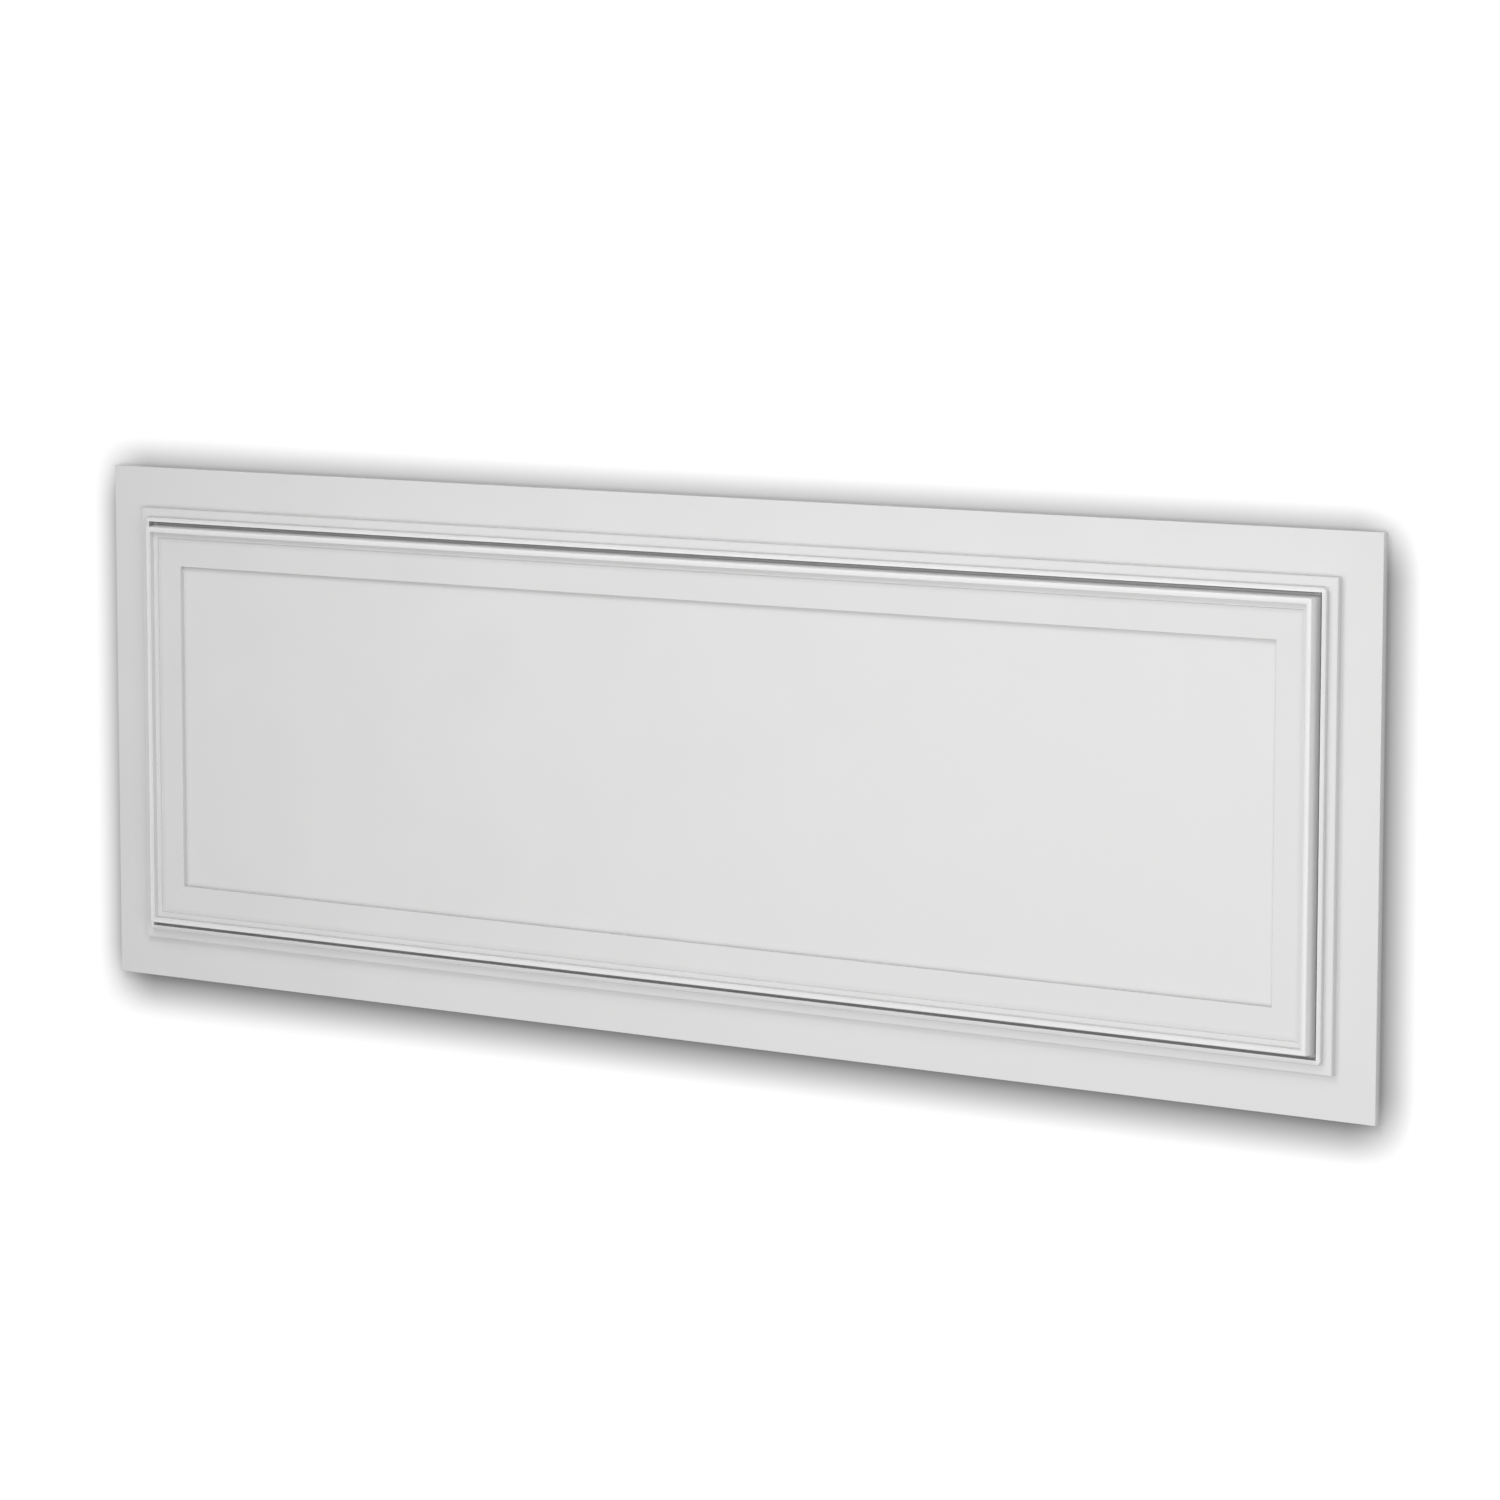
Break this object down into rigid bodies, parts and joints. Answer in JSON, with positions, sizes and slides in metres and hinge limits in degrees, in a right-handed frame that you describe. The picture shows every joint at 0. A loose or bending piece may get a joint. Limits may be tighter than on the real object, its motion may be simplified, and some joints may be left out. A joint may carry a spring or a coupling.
{
  "type": "wall panel",
  "caption": "Long rectangular moulded wall panel with a flat margin, a raised band, a bead and ridge frame, a raised field, a sunk centre and a flat back.",
  "frame": {"origin": "centre of the flat back, which lies on the floor", "axes": "+X along the panel, +Y up the wall when it is hung, +Z out of the decorated face"},
  "size_m": [1.4, 0.5, 0.027],
  "materials": {
    "primed_foam": "white primer on dense moulded foam, matt"
  },
  "bodies": {
    "root": {"wall_panel": "primed_foam"}
  },
  "joints": []
}
